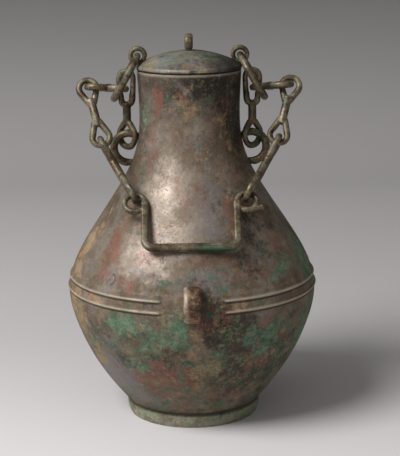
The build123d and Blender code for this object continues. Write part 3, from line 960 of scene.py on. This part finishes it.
def mark_room(node, mesh):
    """Stores at each vertex how near any other piece comes, at rest and at the joints' limits.

    It is measured once for all vertices in a small cell, and evened out later in the tree."""
    points = np.empty((len(mesh.vertices), 3), np.float32)
    mesh.vertices.foreach_get("co", points.ravel())
    cells, cell_of = np.unique(np.rint(points / CELL), axis=0, return_inverse=True)
    cell_of = cell_of.ravel()
    counts = np.bincount(cell_of)
    middles = np.column_stack([np.bincount(cell_of, points[:, i]) / counts for i in range(3)])
    room = np.full(len(cells), CLEAR, np.float32)
    for surface, way, least, most in neighbours(node):
        turn = np.array(way)
        moved = middles @ turn[:3, :3].T + turn[:3, 3]
        close = ((moved > least) & (moved < most)).all(axis=1)
        for i in np.flatnonzero(close):
            gap = surface.find_nearest(moved[i], room[i])[3]
            if gap is not None:
                room[i] = gap
    mesh.attributes.new("room", "FLOAT", "POINT").data.foreach_set("value", room[cell_of])


def cast_skin(node, material, voxel, **values):
    """Grows a cast skin over a node's solid and lets it stand for the node."""
    mesh = frame["nodes"][node].data.copy()
    mesh.materials.clear()
    obj = link(f"{node}_skin", mesh)
    weld = obj.modifiers.new("Weld", "WELD")
    weld.merge_threshold = 1e-6
    remesh = obj.modifiers.new("Remesh", "REMESH")
    remesh.mode = "VOXEL"
    remesh.voxel_size = voxel
    if values.get("Spare"):
        settle(obj)
        mark_room(node, obj.data)
        values["Held"] = 0.8
    skin = obj.modifiers.new("Cast", "NODES")
    skin.node_group = tree_named("cast_skin", cast_tree)
    inputs = {
        "Blur": 5,
        "Swell": 0.1 * MM,
        "Spare": 0.0,
        "Held": 0.0,
        "Wave Scale": 90.0,
        "Wave Height": 0.35 * MM,
        "Grain Scale": 600.0,
        "Grain Height": 0.12 * MM,
        "Shift": float(sorted(frame["nodes"]).index(node)),
        "Crest Reach": 1.6 * MM,
        "Material": material,
    }
    inputs.update(values)
    set_inputs(skin, inputs)
    settle(obj)
    stand_for(obj, node)
    return obj


class HU_OT_fittings(Operator):
    """Casts the lug on the belly and the ears on the neck"""

    bl_idname = "hu.fittings"
    bl_label = "Lug and neck ears"

    def execute(self, context):
        voxel = context.scene.hu_shape.link_voxel
        cast_skin("belly_lug", lug_bronze(), voxel, Blur=110, Swell=0.95 * MM)
        material = chain_bronze("ear_bronze", 0.5)
        for node in NECK_EARS:
            cast_skin(node, material, voxel, Blur=8, Swell=0.2 * MM, Spare=0.3 * MM)
        return {"FINISHED"}


# Middle, half sizes and depth of the loss at the lid's rim
RIM_CHIP = Vector((4.5, -45.0, 299.4)) * MM, Vector((4.5, 3.0, 2.2)) * MM, 1.6 * MM


def chip(mesh, centre, reach, depth):
    """Presses a small loss into an edge, towards the axis and upwards."""
    for vertex in mesh.vertices:
        away = Vector((vertex.co[i] - centre[i]) / reach[i] for i in range(3))
        if away.length < 1.0:
            inward = Vector((-vertex.co.x, -vertex.co.y, 0.0)).normalized()
            vertex.co += (inward + Vector((0, 0, 0.6))) * depth * (1.0 - away.length_squared)


class HU_OT_lid(Operator):
    """Casts the lid, its knob and its ears"""

    bl_idname = "hu.lid"
    bl_label = "Lid"

    def execute(self, context):
        shape = context.scene.hu_shape
        material = lid_bronze()
        lid = cast_skin("lid", material, shape.lid_voxel, Blur=2, Swell=0.0, **{"Wave Scale": 30.0})
        chip(lid.data, *RIM_CHIP)
        fitting = chain_bronze("lid_fitting_bronze", 0.8)
        for node in LID_FITTINGS:
            cast_skin(node, fitting, shape.link_voxel, Spare=0.35 * MM)
        return {"FINISHED"}


class HU_OT_chain(Operator):
    """Casts the lid rings and the links of both chains"""

    bl_idname = "hu.chain"
    bl_label = "Rings and links"

    def execute(self, context):
        material = chain_bronze("chain_bronze", 0.6)
        for node in RINGS + LINKS:
            cast_skin(node, material, context.scene.hu_shape.link_voxel, Spare=0.5 * MM)
        return {"FINISHED"}


class HU_OT_bail(Operator):
    """Forges the square bail with its eyes"""

    bl_idname = "hu.bail"
    bl_label = "Bail"

    def execute(self, context):
        material = chain_bronze("bail_bronze", 0.45)
        cast_skin("bail_handle", material, context.scene.hu_shape.link_voxel, Blur=3, Spare=0.3 * MM)
        return {"FINISHED"}


# Stage

# Each light's place, what it shines on and the size of its disk
KEY = (-0.95, -0.78, 1.42), (0.0, 0.0, 0.17), 0.95
FILL = (-1.9, -0.45, 0.85), (0.0, 0.0, 0.1), 1.2


def sweep_mesh(width, front, back, rise, bend):
    """A paper sweep: floor, a round bend and a wall behind."""
    path = [(front, 0.0)]
    path += [
        (back - bend + bend * sin(a), bend - bend * cos(a))
        for a in (radians(d) for d in range(0, 91, 6))
    ]
    path.append((back, rise))
    verts = [(side * width / 2, y, z) for y, z in path for side in (-1, 1)]
    faces = [(2 * i, 2 * i + 1, 2 * i + 3, 2 * i + 2) for i in range(len(path) - 1)]
    mesh = bpy.data.meshes.new("paper_sweep")
    mesh.from_pydata(verts, [], faces)
    for polygon in mesh.polygons:
        polygon.use_smooth = True
    return mesh


def paper(stage):
    """Pale paper with painted shade: darker behind the flask and towards the top of the wall."""
    material = bpy.data.materials.new("paper")
    material.use_nodes = True
    material.node_tree.nodes.clear()
    g = Graph(material.node_tree)
    at = g.add("ShaderNodeTexCoord", output="Object")
    _, y, z = g.parts(at)
    # painted shade: the floor darkens with depth and the wall towards its top, standing in for the light's
    # fall-off
    floor = g.blend(g.step(y, -0.15, 0.25), rgba(stage.floor), rgba(stage.shaded_beyond))
    base = g.blend(g.step(z + (y - 0.2) * 0.45, 0.25, 1.2), floor, rgba(stage.shaded_backdrop))
    shader = g.add("ShaderNodeBsdfPrincipled", {"Base Color": base, "Roughness": 0.9})
    g.add("ShaderNodeOutputMaterial", {"Surface": shader})
    return material


def area_light(name, place, target, size, power):
    data = bpy.data.lights.new(name, "AREA")
    data.shape = "DISK"
    data.size = size
    data.energy = power
    obj = link(name, data)
    obj.location = place
    obj.rotation_euler = (Vector(target) - Vector(place)).to_track_quat("-Z", "Y").to_euler()


class HU_OT_stage(Operator):
    """Lays the paper sweep, sets the lights and the camera"""

    bl_idname = "hu.stage"
    bl_label = "Stage"

    def execute(self, context):
        stage = context.scene.hu_stage
        sweep = link("paper_sweep", sweep_mesh(width=30.0, front=-15.0, back=1.7, rise=3.0, bend=0.7))
        sweep.data.materials.append(paper(stage))
        area_light("key", *KEY, stage.key_power)
        area_light("fill", *FILL, stage.fill_power)
        world = bpy.data.worlds.new("even_light")
        context.scene.world = world
        world.use_nodes = True
        background = world.node_tree.nodes["Background"]
        background.inputs["Color"].default_value = (1.0, 0.98, 0.97, 1.0)
        background.inputs["Strength"].default_value = stage.ambient
        data = bpy.data.cameras.new("eye")
        data.lens = stage.lens
        data.sensor_width = 36.0
        camera = link("eye", data)
        turn = Matrix.Rotation(-stage.yaw, 4, "Z") @ Matrix.Rotation(pi / 2 - stage.pitch, 4, "X")
        turn = turn @ Matrix.Rotation(-stage.lean, 4, "Z")
        camera.matrix_world = Matrix.Translation((0.0, -stage.eye_distance, stage.eye_height)) @ turn
        context.scene.camera = camera
        context.scene.view_settings.view_transform = "Standard"
        return {"FINISHED"}


OPERATORS = (HU_OT_vessel, HU_OT_fittings, HU_OT_lid, HU_OT_chain, HU_OT_bail, HU_OT_stage)


class HU_PT_sidebar(Panel):
    """Lists the pieces in the 3D view's sidebar"""

    bl_label = "Hu"
    bl_idname = "HU_PT_sidebar"
    bl_space_type = "VIEW_3D"
    bl_region_type = "UI"
    bl_category = "Hu"

    def draw(self, context):
        for operator in OPERATORS:
            self.layout.operator(operator.bl_idname)


SETTINGS = {"hu_shape": HuShape, "hu_finish": HuFinish, "hu_stage": HuStage}
CLASSES = (*SETTINGS.values(), *OPERATORS, HU_PT_sidebar)


def register():
    for cls in CLASSES:
        bpy.utils.register_class(cls)
    for name, cls in SETTINGS.items():
        setattr(bpy.types.Scene, name, PointerProperty(type=cls))


def unregister():
    for name in SETTINGS:
        delattr(bpy.types.Scene, name)
    for cls in reversed(CLASSES):
        bpy.utils.unregister_class(cls)


def main():
    register()
    for operator in OPERATORS:
        group, name = operator.bl_idname.split(".")
        getattr(getattr(bpy.ops, group), name)()


if __name__ == "__main__":
    main()
